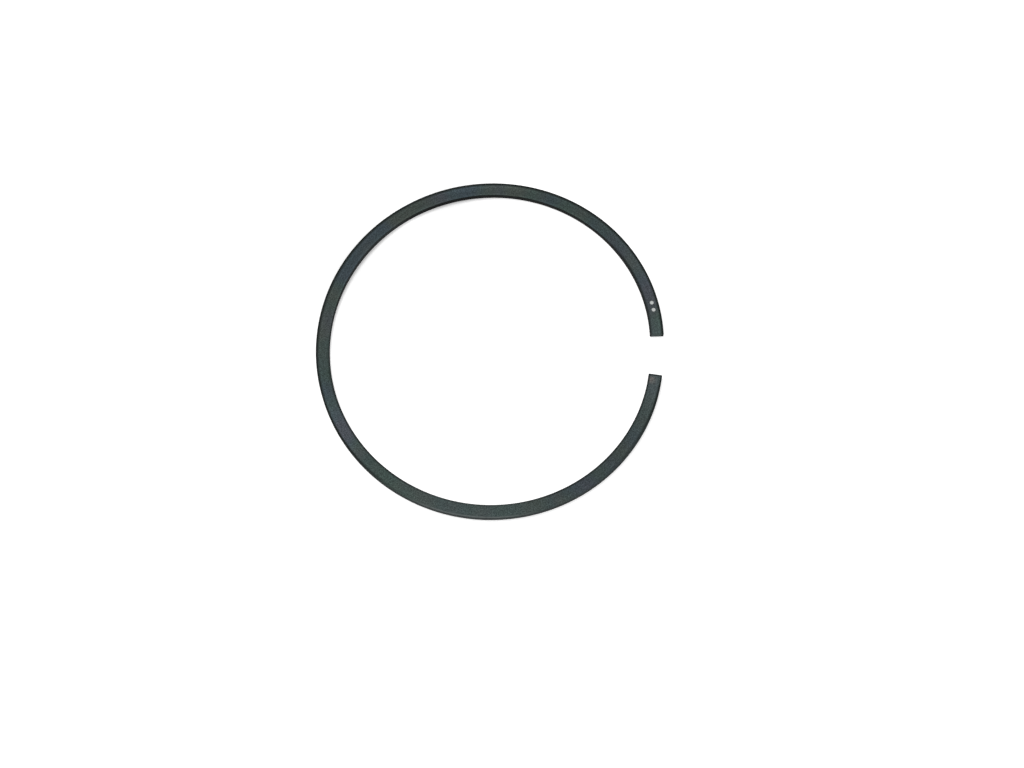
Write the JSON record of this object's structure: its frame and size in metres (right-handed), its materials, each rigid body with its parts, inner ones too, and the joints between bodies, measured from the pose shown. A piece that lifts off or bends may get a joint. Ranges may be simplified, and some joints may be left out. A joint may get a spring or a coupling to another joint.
{
  "type": "piston ring",
  "caption": "Split piston compression ring of flat rectangular section in a dark phosphate finish, lying free with its ends sprung apart; it closes into the bore to seal the piston.",
  "frame": {"origin": "middle of the free ring's outline, on its lower side face", "axes": "+X towards the gap between the ends, +Z along the ring's axis towards its marked top side"},
  "size_m": [0.0582, 0.0596, 0.0012],
  "materials": {
    "ring": "matte dark phosphate, satin on the side faces"
  },
  "bodies": {
    "root": {"piston_ring": "ring"}
  },
  "joints": []
}
